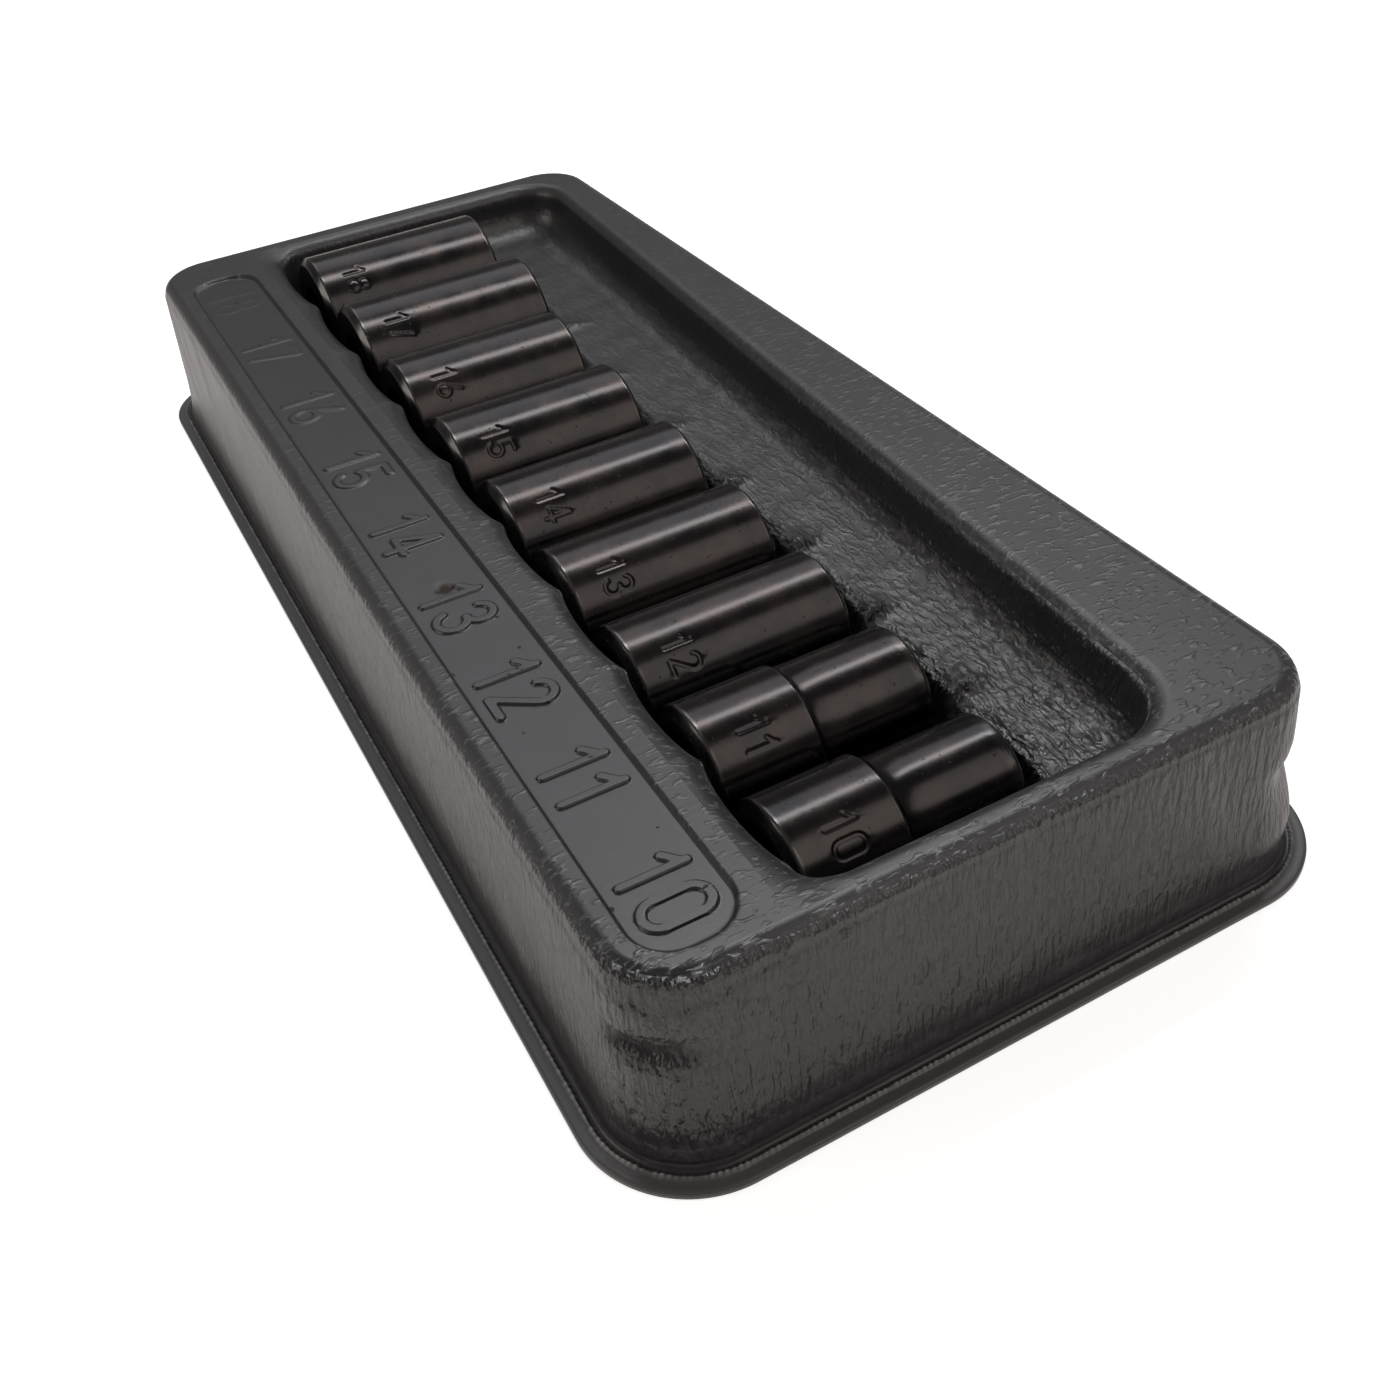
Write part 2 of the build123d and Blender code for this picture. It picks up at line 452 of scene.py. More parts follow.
@dataclass(frozen=True)
class Patch:
    """A stretch of coarser grain, a bell curve each way."""

    strength: float
    x: float
    y: float
    spread_x: float
    spread_y: float

    def at(self, x: Grid, y: Grid) -> Grid:
        """Its strength times two bell curves, one along and one across the tray."""
        return self.strength * bell(x, self.x, self.spread_x) * bell(y, self.y, self.spread_y)


@dataclass(frozen=True)
class Sheet:
    """Sizes of the formed sheet that its three pieces share, in millimetres."""

    thickness: float = 1.2
    flange_corner: float = 15.0
    land_inset: float = 8.0  # from the flange's edge to where the rim is flat
    split_y: float = TRAY_LOW[1] + 25.1  # the strip's piece ends and the pocket's begins
    near_x: float = TRAY_HIGH[0] - 11.0
    far_x: float = TRAY_LOW[0] + 12.5
    back_y: float = TRAY_HIGH[1] - 18.9
    back_slope: float = -0.051
    edge_radius: float = 2.6
    draft: float = math.radians(5.0)
    front_corner: float = 4.5
    back_corner: float = 8.5
    front_gap: float = 2.1  # from the drive faces to the pocket's front edge
    scallop: float = 1.2  # how far that edge bows out before a socket
    scallop_power: float = 0.8  # 0.5 would make the bow an ellipse
    ledge: float = RIM - 9.4
    ledge_radius: float = 4.8
    far_hollow: float = 1.6  # how much wider the hollow is at the far end
    far_stretch: tuple = (-60.0, -92.0)  # the x over which it widens
    cradle_clearance: float = 0.3
    cradle_rise: float = 8.0  # slope beside a cradle's half round
    bow: float = 2.7  # how far a cradle's end reaches past its socket
    bow_radius: float = 35.0
    row_edge: float = 2.3  # round over the ledge's edge along the row
    row_draft: float = math.radians(8.0)
    row_side: float = 0.75  # the row's opening is this much wider than a cradle
    sag: float = 1.0  # how far the front land sinks towards the pocket
    firm: tuple = (38.0, 22.0)  # middle and spread of the stretch of it that doesn't
    sag_depth: tuple = (-5.2, 0.4)  # pocket depths over which it sinks
    sag_y: tuple = (-19.0, -23.5)  # and the y over which that sets in; the back stays up
    far_grain: float = 0.2  # strength of the grain at the far end
    grain_gain: float = 0.7  # and how much it gains towards the near end
    grain_stretch: tuple = (-60.0, 100.0)  # over these x
    patches: tuple = (
        Patch(0.9, TRAY_HIGH[0] - 8.0, -44.0, 7.0, 9.0),
        Patch(0.7, TRAY_HIGH[0] - 23.0, 22.0, 10.0, 6.0),
    )

    def land_bound(self, x: Grid) -> Grid:
        """Half the width of the flat land at x: its straight side, or its corner's circle.

        Args:
            x: Along the tray.

        Returns:
            Distance of the land's long edges from the tray's middle.
        """
        radius = self.flange_corner - self.land_inset
        past = np.clip(np.abs(x) - (HALF_LENGTH - self.flange_corner), 0.0, radius)
        return HALF_WIDTH - self.flange_corner + np.sqrt(radius**2 - past**2)

    def back_wall(self, x: Grid) -> Grid:
        """The pocket's slanted back edge, a straight line in plan."""
        return self.back_y + self.back_slope * x

    def front_wall(self, x: Grid) -> Grid:
        """The pocket's front edge, one shallow bow, (1 - across^2)^power, before each socket.

        Args:
            x: Along the tray.

        Returns:
            The edge's y.
        """
        edge = np.full(np.shape(x), PLACES[0].drive_y - self.front_gap)
        for place in PLACES:
            reach = place.radius + self.cradle_clearance
            across = np.clip(np.abs(x - place.x) / reach, 0.0, 1.0)
            bow = self.scallop * (1.0 - across**2) ** self.scallop_power
            edge = np.minimum(edge, place.drive_y - self.front_gap - bow)
        return edge

    def coarseness(self, x: Grid, y: Grid) -> Grid:
        """Strength of the grain: a smooth step along the tray and the patches."""
        even = self.far_grain + self.grain_gain * ramp(x, *self.grain_stretch)
        return even + sum(patch.at(x, y) for patch in self.patches)

    def pocket_depth(self, x: Grid, y: Grid) -> Grid:
        """Distance inside the pocket's outline, below zero outside."""
        edges = (self.near_x - x, x - self.far_x, y - self.front_wall(x), self.back_wall(x) - y)
        return inside_four(*edges, (self.front_corner, self.back_corner))

    def row_depth(self, x: Grid, y: Grid) -> Grid:
        """Distance inside the row of cradles, the greatest over the sockets.

        Each socket's part ends at its sides and at a circular bow behind its nose.

        Args:
            x: Along the tray.
            y: Across the tray.

        Returns:
            Distances, below zero over the ledge.
        """
        depth = np.full(np.shape(x), -FAR_OFF)
        for place in PLACES:
            off = np.abs(x - place.x)
            side = place.radius + self.cradle_clearance + self.row_side - off
            reach = np.minimum(off, place.radius + 1.0)
            behind = self.bow - self.bow_radius + np.sqrt(self.bow_radius**2 - reach**2)
            depth = np.maximum(depth, np.minimum(side, place.nose_y + behind - y))
        return depth

    def trough(self, x: Grid, inset: float) -> Grid:
        """The cradles' half rounds, axis - sqrt(r^2 - off^2), the lowest of them at each x.

        Args:
            x: Along the tray.
            inset: How much deeper the surface lies than the sheet's upper side.

        Returns:
            Heights.
        """
        level = np.full(np.shape(x), FAR_OFF)
        for place in PLACES:
            radius = place.radius + self.cradle_clearance + inset
            off = np.abs(x - place.x)
            half_round = place.axis - np.sqrt(np.maximum(radius**2 - off**2, 0.0))
            level = np.minimum(level, half_round + self.cradle_rise * np.maximum(off - radius, 0.0))
        return level

    def sunk(self, x: Grid, y: Grid) -> Grid:
        """How far the front land sinks at a place: two steps across it, less a bell along it."""
        across = ramp(self.pocket_depth(x, y), *self.sag_depth) * ramp(y, *self.sag_y)
        return self.sag * (1.0 - bell(x, *self.firm)) * across

    def height(self, x: Grid, y: Grid, inset: float = 0.0) -> Grid:
        """The upper side of the sheet, or with an inset its underside.

        The highest of three: the rim with its rounded edge and drafted wall, the ledge with
        its hollow round and its edge along the row, and the cradles' troughs.

        Args:
            x: Along the tray.
            y: Across the tray.
            inset: Distance below the upper side, measured square to the surface.

        Returns:
            Heights.
        """
        depth = self.pocket_depth(x, y) + inset
        wall = shoulder(depth, RIM - inset, self.edge_radius - inset, self.draft) - self.sunk(x, y)
        foot = (RIM - self.ledge) * math.tan(self.draft)
        hollow = self.ledge_radius + self.far_hollow * ramp(x, *self.far_stretch)
        ledge = self.ledge - inset + rise(depth - foot, hollow + inset, self.draft)
        edge_top = np.maximum(ledge, self.ledge - inset)
        row_edge = max(self.row_edge - inset, 0.1)
        row = shoulder(self.row_depth(x, y) + inset, edge_top, row_edge, self.row_draft)
        floor = np.maximum(row, np.minimum(self.trough(x, inset), edge_top))
        return np.maximum(wall, np.where(ledge > 0.0, floor, -FAR_OFF))


SHEET = Sheet()


@dataclass(frozen=True)
class Dent:
    """A place in a corner where the sheet has sunk in, sharper above than below."""

    angle: float  # round the corner's centre, degrees
    corner_x: int
    corner_y: int
    height: float
    depth: float
    spread: float = 4.2  # along the wall
    above: float = 1.7  # and up and down from its middle
    below: float = 4.6
    wall_inset: float = 4.0  # of its middle, from the flange's edge

    def push(self, x: Grid, y: Grid, z: Grid) -> Grid:
        """How far the wall is pushed in: depth times two bell curves, along and up the wall.

        Args:
            x: Along the tray.
            y: Across the tray.
            z: Heights.

        Returns:
            Distances inwards.
        """
        radius = SHEET.flange_corner - self.wall_inset
        turn = math.radians(self.angle)
        middle_x = self.corner_x * (HALF_LENGTH - SHEET.flange_corner) + radius * math.cos(turn)
        middle_y = self.corner_y * (HALF_WIDTH - SHEET.flange_corner) + radius * math.sin(turn)
        away = np.hypot(x - middle_x, y - middle_y)
        lift = z - self.height
        upright = np.where(lift > 0, lift / self.above, lift / self.below)
        return self.depth * bell(away, 0.0, self.spread) * bell(upright, 0.0, 1.0)


# ---------------- finishes

class Shader:
    """A material or world under construction: adds nodes and joins them in one call."""

    def __init__(self, owner: bpy.types.ID) -> None:
        """Starts on a new material's or world's own nodes.

        Args:
            owner: The material or world.
        """
        owner.use_nodes = True
        self.owner = owner
        self.tree = owner.node_tree
        self.count = 0

    def add(self, kind: str, inputs: dict, **settings: object) -> bpy.types.Node:
        """Adds a node.

        Args:
            kind: The node's type.
            inputs: Values or sockets by input name or number.
            settings: Options of the node.

        Returns:
            The node.
        """
        node = self.tree.nodes.new(kind)
        node.location = (-220 * (1 + self.count // 5), 300 - 220 * (self.count % 5))
        self.count += 1
        for option, value in settings.items():
            setattr(node, option, value)
        self.feed(node, inputs)
        return node

    def finish(self, kind: str, inputs: dict) -> bpy.types.ID:
        """Feeds the node that was there from the start, named kind, and gives the owner."""
        self.feed(self.tree.nodes[kind], inputs)
        return self.owner

    def feed(self, node: bpy.types.Node, inputs: dict) -> None:
        """Sets or joins a node's inputs.

        Args:
            node: The node.
            inputs: Values or sockets by input name or number.
        """
        for key, value in inputs.items():
            if isinstance(value, Link):
                self.tree.links.new(value, node.inputs[key])
            else:
                node.inputs[key].default_value = value

    def math(self, operation: str, first: object, second: object = 0.0) -> Link:
        """One arithmetic step, its inputs numbers or sockets."""
        return self.add("ShaderNodeMath", {0: first, 1: second}, operation=operation).outputs[0]

    def vector(self, operation: str, first: object, second: object) -> Link:
        """One step of vector arithmetic, its inputs vectors or sockets."""
        return self.add("ShaderNodeVectorMath", {0: first, 1: second}, operation=operation).outputs[0]

    def mark(self, name: str) -> Link:
        """The piece's own attribute of that name."""
        return self.add("ShaderNodeAttribute", {}, attribute_name=name).outputs["Fac"]

    def place(self, scale: tuple[float, float, float]) -> Link:
        """Object coordinates, stretched along each axis."""
        where = self.add("ShaderNodeTexCoord", {}).outputs["Object"]
        return self.add("ShaderNodeMapping", {"Vector": where, "Scale": scale}).outputs[0]

    def bent(self, scale: tuple, shift: Link, share: float) -> Link:
        """Object coordinates, stretched along each axis and then moved by a share of a vector."""
        return self.vector("ADD", self.place(scale), self.vector("MULTIPLY", shift, (share,) * 3))

    def noise(self, where: Link, scale: float, detail: float = 3.0) -> Link:
        """Soft noise from 0 to 1."""
        inputs = {"Vector": where, "Scale": scale, "Detail": detail, "Roughness": 0.6}
        return self.add("ShaderNodeTexNoise", inputs).outputs["Fac"]

    def grade(self, value: Link, *ranges: object) -> Link:
        """Maps a value from one range (low, high) to another (low, high), held at the ends."""
        inputs = {"Value": value, **dict(enumerate(ranges, start=1))}
        return self.add("ShaderNodeMapRange", inputs).outputs[0]

    def blend(self, share: object, first: object, second: object) -> Link:
        """A colour between two, each a colour or a socket."""
        inputs = {0: share, 6: first, 7: second}
        return self.add("ShaderNodeMix", inputs, data_type="RGBA").outputs[2]


@dataclass(frozen=True)
class GrainedPlastic:
    """Black formed sheet with a leather grain that is drawn out down the walls."""

    name: str = "grained_plastic"
    dark: tuple = (0.015, 0.0148, 0.0152, 1.0)
    light: tuple = (0.027, 0.0265, 0.0275, 1.0)
    stained: tuple = (0.030, 0.014, 0.008, 1.0)
    # Pale grey painted in for light: the shaded flange, glints on the stitches, light along the rim's edge
    # and highlights on flake and fold tops.
    rubbed: tuple = (0.260, 0.262, 0.264, 1.0)
    cell: float = 0.80 * MM  # spacing of the flakes on level faces
    flake: float = 0.40  # below 1 draws the flakes out across the tray
    fold: float = 0.34  # and the ledge's folds along it
    streak: float = 0.85 * MM  # width of a drawn-out cell on a wall
    drawn_out: float = 0.20
    bend: float = 1.6 * MM  # how far the cells wander
    relief: float = 0.60 * MM
    flake_heights: tuple = (0.54, 0.76, 0.0, 0.14)  # from a range of noise to one of height
    fold_heights: tuple = (0.42, 0.74, 0.0, 0.36)
    wall_gain: float = 1.35  # how much stronger the streaks are than the flakes
    fine_gain: float = 0.12  # and the share of the fine ones among them
    bends: tuple = (0.4, 0.8, 0.45)  # shares of the bend in flakes, folds and streaks
    patch_scale: float = 90.0  # per metre, as all scales of noise
    scuff_scale: float = 2600.0
    speck_scale: float = 640.0
    scuffs: tuple = (0.62, 0.8, 0.0, 0.4)  # from noise to how pale the scuffs are
    speck_noise: tuple = (0.755, 0.775)  # over which a speck on the strip begins
    tones: tuple = (0.3, 0.9)  # of patches and scuffs, from dark to light
    stain: float = 0.8  # how brown the burst bubble is
    wear: tuple = (2.3, 0.9)  # painted highlight: how much lighter the tops of flakes and of folds are painted
    most_wear: float = 0.3
    rough: tuple = (0.40, 0.33)  # on grained and on smooth faces
    specks_rough: float = 0.25  # how much rougher specks are, and how much duller
    specks_dull: float = 0.32
    sharp: tuple = (1.0, 2.2, 0.0, 0.15)  # from strong grain to the roughness it loses

    def level_grain(self, shader: Shader, shift: Link) -> Link:
        """Height of the grain on level faces: drawn-out flakes, or folds where 'fold' is set.

        Args:
            shader: The material under construction.
            shift: The vector that bends the pattern.

        Returns:
            Where the height comes out.
        """
        across = shader.bent((1.0, self.flake, 1.0), shift, self.bends[0])
        along = shader.bent((self.fold, 1.0, 1.0), shift, self.bends[1])
        flakes = shader.grade(shader.noise(across, 1.0 / self.cell, 1.0), *self.flake_heights)
        folds = shader.grade(shader.noise(along, 0.80 / self.cell, 1.6), *self.fold_heights)
        folded = shader.mark("fold")
        unfolded = shader.math("SUBTRACT", 1.0, folded)
        flakes = shader.math("MULTIPLY", flakes, unfolded)
        return shader.math("ADD", flakes, shader.math("MULTIPLY", folds, folded))

    def wall_grain(self, shader: Shader, shift: Link) -> Link:
        """Height of the grain on walls: coarse and fine streaks down them.

        Args:
            shader: The material under construction.
            shift: The vector that bends the pattern.

        Returns:
            Where the height comes out.
        """
        tall = shader.bent((1.0, 1.0, self.drawn_out), shift, self.bends[2])
        fine = shader.noise(tall, 2.6 / self.streak, 1.0)
        streaks = shader.noise(tall, 1.0 / self.streak, 1.5)
        return shader.math("ADD", streaks, shader.math("MULTIPLY", fine, self.fine_gain))

    def material(self) -> bpy.types.Material:
        """Builds the material, steered by the marks on each piece.

        The marks are 'grain' for the pattern's strength, 'wall' for how upright the face
        is, 'fold' for the ledge, 'smooth' for the label strip, 'stain' for the burst bubble
        and 'rubbed' for painted light: the flange lightened where the wall shades it,
        glints painted on the bead's stitches and light painted along the rim's edge.

        Returns:
            The material.
        """
        shader = Shader(bpy.data.materials.new(self.name))
        even = shader.place((1.0, 1.0, 1.0))
        inputs = {"Vector": even, "Scale": 0.4 / self.cell, "Detail": 2.0}
        wander = shader.add("ShaderNodeTexNoise", inputs)
        shift = shader.vector("MULTIPLY", wander.outputs["Color"], (self.bend,) * 3)
        wall, grain, smooth, stain = map(shader.mark, ("wall", "grain", "smooth", "stain"))
        level = self.level_grain(shader, shift)
        level = shader.math("MULTIPLY", level, shader.math("SUBTRACT", 1.0, wall))
        gain = shader.math("MULTIPLY", wall, self.wall_gain)
        upright = shader.math("MULTIPLY", self.wall_grain(shader, shift), gain)
        height = shader.math("MULTIPLY", shader.math("ADD", level, upright), grain)
        bump = shader.add("ShaderNodeBump", {"Strength": 1.0, "Distance": self.relief, "Height": height})
        patches = shader.noise(even, self.patch_scale, 4.0)
        scuffs = shader.noise(shader.place((0.25, 1.0, 1.0)), self.scuff_scale, 2.0)
        scuffs = shader.grade(scuffs, *self.scuffs)
        specks = shader.noise(even, self.speck_scale, 1.0)
        specks = shader.math("MAXIMUM", shader.grade(specks, *self.speck_noise, 0.0, smooth), stain)
        tone = shader.grade(shader.math("ADD", patches, scuffs), *self.tones, 0.0, 1.0)
        colour = shader.blend(tone, self.dark, self.light)
        colour = shader.blend(shader.math("MULTIPLY", stain, self.stain), colour, self.stained)
        # Painted highlight: the tops of flakes on level faces and of the ledge's folds are lightened
        # towards the pale colour.
        wear = shader.grade(shader.mark("fold"), 0.0, 1.0, *self.wear)
        worn = shader.math("MULTIPLY", level, shader.math("MULTIPLY", grain, wear))
        worn = shader.math("MINIMUM", worn, self.most_wear)
        rubbed = shader.math("MAXIMUM", shader.mark("rubbed"), worn)
        rough = shader.grade(shader.math("ADD", patches, smooth), 0.3, 1.7, *self.rough)
        rough = shader.math("ADD", rough, shader.math("MULTIPLY", specks, self.specks_rough))
        dull = shader.math("MULTIPLY", specks, self.specks_dull)
        return shader.finish(PRINCIPLED, {
            "Base Color": shader.blend(rubbed, colour, self.rubbed),
            "Roughness": shader.math("SUBTRACT", rough, shader.grade(grain, *self.sharp)),
            "Specular IOR Level": shader.math("SUBTRACT", 0.5, dull),
            "Normal": bump.outputs[0],
            "IOR": 1.54,
        })


@dataclass(frozen=True)
class BlackOxide:
    """Blackened steel, lightly oiled, rubbed bare along its edges."""

    name: str = "black_oxide"
    dark: tuple = (0.030, 0.029, 0.030, 1.0)
    brown: tuple = (0.045, 0.039, 0.037, 1.0)
    bare: tuple = (0.20, 0.195, 0.19, 1.0)
    brown_noise: tuple = (0.38, 0.66)
    worn_noise: tuple = (0.3, 0.65, 0.35, 1.0)  # from noise to the share of wear left
    pit_noise: tuple = (0.70, 0.75)
    patch_scale: float = 170.0
    ring_scale: float = 4200.0
    pit_scale: float = 1500.0
    rough: tuple = (0.17, 0.25)
    pit_rough: float = 0.25
    ring_height: float = 0.4
    pit_depth: float = 1.4
    relief: float = 0.04 * MM

    def material(self) -> bpy.types.Material:
        """Builds the material; the mark 'worn' on each socket tells where its edges are.

        Returns:
            The material.
        """
        shader = Shader(bpy.data.materials.new(self.name))
        even = shader.place((1.0, 1.0, 1.0))
        around = shader.place((0.15, 1.0, 0.15))
        patches = shader.noise(even, self.patch_scale, 5.0)
        rings = shader.noise(around, self.ring_scale, 3.0)
        specks = shader.noise(even, self.pit_scale, 2.0)
        oxide = shader.blend(shader.grade(patches, *self.brown_noise, 0.0, 1.0), self.dark, self.brown)
        worn = shader.math("MULTIPLY", shader.mark("worn"), shader.grade(patches, *self.worn_noise))
        pits = shader.grade(specks, *self.pit_noise, 0.0, 1.0)
        colour = shader.blend(shader.math("MINIMUM", worn, 1.0), oxide, self.bare)
        rough = shader.grade(patches, 0.3, 0.7, *self.rough)
        rough = shader.math("ADD", rough, shader.math("MULTIPLY", pits, self.pit_rough))
        sunk = shader.math("MULTIPLY", pits, self.pit_depth)
        height = shader.math("SUBTRACT", shader.math("MULTIPLY", rings, self.ring_height), sunk)
        bump = shader.add("ShaderNodeBump", {"Strength": 0.8, "Distance": self.relief, "Height": height})
        return shader.finish(PRINCIPLED, {
            "Base Color": colour, "Metallic": 1.0, "Roughness": rough, "Normal": bump.outputs[0],
        })


def dress(piece: bpy.types.Object, material: bpy.types.Material, body: str, node: str) -> None:
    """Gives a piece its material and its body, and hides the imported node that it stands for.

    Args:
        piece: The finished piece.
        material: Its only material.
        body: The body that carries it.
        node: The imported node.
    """
    piece.data.materials.append(material)
    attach(piece, body)
    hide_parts(node)


# ---------------- the tray's pieces

@dataclass
class TrayRim:
    """Flange, outer walls and the round over their tops, as one closed ring."""

    foot_inset: float = 3.3  # from the flange's edge to the wall, at the bench
    top_inset: float = 5.4  # and at the level of the rim
    wall_start: float = 4.0  # height where the wall's straight run begins
    round_radius: float = 2.6
    long_steps: int = 400  # places round the outline, on each side and corner
    short_steps: int = 190
    corner_steps: int = 52
    wave: float = 0.09  # half the depth of the wall's waviness
    slump_reach: float = 11.0  # around the near front corner, where the round over sinks
    slump_inset: float = 6.0  # of its middle, from the flange's edges
    loose: tuple = ((3.0, 6.0), (RIM - 0.5, RIM - 4.0))  # heights where the wall gives way
    streaked: tuple = ((1.8, 2.6), (RIM - 0.2, RIM - 1.6))  # and where it bears streaks
    calm: tuple = (2.0, 7.5)  # heights over which the grain comes up from the flange
    flange_top: tuple = (1.0, 1.6)  # heights between which the flange's upper side lies
    bead: tuple = (1.94, 0.24)  # inset and half width of the bead along the flange
    bead_jitter: float = 0.16  # unevenness of its height
    bead_stitch: float = 0.22  # height of its stitches, on every second place
    scuff: tuple = (0.24, 1.5, 1.2)  # painted light along the rim's edge: how strong, how deep below the top, how wide
    flange_rubbed: float = 0.27  # painted light on the flange outside the bead, where the wall shades it from the lamps
    stitch_rubbed: float = 1.3  # and how bright the painted glints on the stitches are
    least_grain: float = 0.2  # share of the grain left on flange and dents
    crease: float = 60.0
    seed: int = 7
    dents: tuple = (
        Dent(-48, 1, -1, 19.5, 2.4, 5.4, 0.5, 2.6),
        Dent(42, 1, 1, 16.4, 1.5, 4.6, 1.2, 3.6),
        Dent(40, 1, 1, 7.0, -0.7, 8.0, 3.5, 4.5),
        Dent(-132, -1, -1, 16.0, 0.7),
        Dent(138, -1, 1, 15.5, 0.8),
    )

    def wall_inset(self, z: Grid) -> Grid:
        """The straight wall's inset at a height, a line from foot to top."""
        return self.foot_inset + (self.top_inset - self.foot_inset) * z / RIM

    def profile(self) -> Grid:
        """Closed section: inset from the flange's edge and height, outside first.

        Returns:
            Array of inset and height, along the underside, the flange, the wall, the rim
            and back down the inside.
        """
        flange = [
            (4.4, 0.0), (2.2, 0.0), (0.35, 0.0), (0.1, 0.06), (0.0, 0.25), (0.0, 0.9), (0.06, 1.08),
            (0.2, 1.17), (0.45, 1.2), (0.9, 1.2), (1.4, 1.2), (1.66, 1.24), (1.8, 1.36), (1.94, 1.44),
            (2.1, 1.34), (2.3, 1.22), (2.6, 1.28), (2.86, 1.5), (3.08, 1.86), (3.24, 2.3), (3.36, 2.9),
        ]
        shoulder_z = RIM - self.round_radius
        up = np.linspace(self.wall_start, shoulder_z, 17)
        down = np.linspace(shoulder_z, 0.6, 7)
        wall = np.stack([self.wall_inset(up), up], -1)
        inside = np.stack([self.wall_inset(down) + SHEET.thickness, down], -1)
        hub = np.array([self.wall_inset(RIM) + self.round_radius, shoulder_z])
        turn = np.linspace(0.0, np.pi / 2, 12)[1:]
        arc = np.stack([-np.cos(turn), np.sin(turn)], -1)
        over = hub + self.round_radius * arc
        under = hub + (self.round_radius - SHEET.thickness) * arc[::-2]
        return np.vstack([flange, wall, over, under, inside])

    def outline(self) -> tuple:
        """Round the flange anticlockwise: anchor points and outward directions.

        A point at inset i is its anchor plus (corner radius - i) times its direction.

        Returns:
            Anchors and directions, one row for each place.
        """
        reach_x = HALF_LENGTH - SHEET.flange_corner
        reach_y = HALF_WIDTH - SHEET.flange_corner
        corners = [(reach_x, -reach_y), (reach_x, reach_y), (-reach_x, reach_y), (-reach_x, -reach_y)]
        anchors, turns = [], []
        for number, (here, there) in enumerate(zip(corners, corners[1:] + corners[:1])):
            steps = self.short_steps if number % 2 == 0 else self.long_steps
            share = np.linspace(0.0, 1.0, steps, endpoint=False)[:, None]
            straight = np.array(here) + share * np.subtract(there, here)
            anchors += [np.repeat([here], self.corner_steps, 0), straight]
            first, last = (number - 1) * np.pi / 2, number * np.pi / 2
            turns += [np.linspace(first, last, self.corner_steps, endpoint=False), np.full(steps, last)]
        turn = np.concatenate(turns)
        return np.vstack(anchors), np.stack([np.cos(turn), np.sin(turn)], -1)

    def build(self) -> bpy.types.Object:
        """Carries the section round the outline, then adds waviness, dents and a stitched bead.

        At the near front corner the round over slumps by a bell curve times its radius.

        Returns:
            The ring.
        """
        section = self.profile()
        anchor, outward = self.outline()
        inset, z = section[:, 0][:, None], section[:, 1][:, None] + np.zeros(len(anchor))
        reach = SHEET.flange_corner - inset
        x = anchor[:, 0] + reach * outward[:, 0]
        y = anchor[:, 1] + reach * outward[:, 1]
        away = np.hypot(x - HALF_LENGTH + self.slump_inset, y + HALF_WIDTH - self.slump_inset)
        slump = bell(away, 0.0, self.slump_reach)
        shoulder_z = RIM - self.round_radius
        wall_z = z - self.round_radius * slump * ramp(z, self.wall_start, shoulder_z)
        z = np.where(z > shoulder_z, RIM - (RIM - z) * (1.0 + slump), wall_z)
        give = band(z, *self.loose)
        dented = sum(dent.push(x, y, z) for dent in self.dents) * give
        push = self.wave * (1.0 + drift(x, y, z)) * give + dented
        x = x - push * outward[:, 0]
        y = y - push * outward[:, 1]
        chance = np.random.default_rng(self.seed).random(len(anchor))
        on_flange = (z > self.flange_top[0]) * (z < self.flange_top[1])
        bead = bell(inset, *self.bead) * on_flange
        stitch = on_flange * (np.arange(len(anchor)) % 2) * (0.15 + 0.85 * chance)
        z = z + bead * (self.bead_jitter * (chance - 0.3) + self.bead_stitch * stitch)
        calm = ramp(z, *self.calm) * (1.0 - 0.8 * ramp(dented, 0.3, 1.2))
        edge = bell(z, RIM - 0.8, 1.1)
        # Painted light in a band just below the rim's top edge, left off where the round over slumps.
        strength, below, width = self.scuff
        painted_edge_light = strength * bell(z, RIM - below, width) * (1.0 - slump)
        # Painted light on the flange outside the bead, where the wall shades it from the lamps, and
        # painted glints on every second stitch of the bead.
        rubbed = self.flange_rubbed * on_flange * ramp(inset, 2.2, 1.9)
        rubbed = rubbed + self.stitch_rubbed * stitch * bead
        return make_piece(
            "tray_rim", stacked(x, y, z), grid_faces(*x.shape, closed=True).tolist(), self.crease,
            grain=SHEET.coarseness(x, y) * np.maximum(calm, self.least_grain) * (0.8 + 0.8 * edge),
            wall=band(z, *self.streaked), rubbed=rubbed + painted_edge_light,
        )


@dataclass(frozen=True)
class Numeral:
    """One raised number: the place of its first digit and how crisp it came out."""

    text: str
    x: float
    crisp: float  # 1 for a sharp numeral, 0 for none


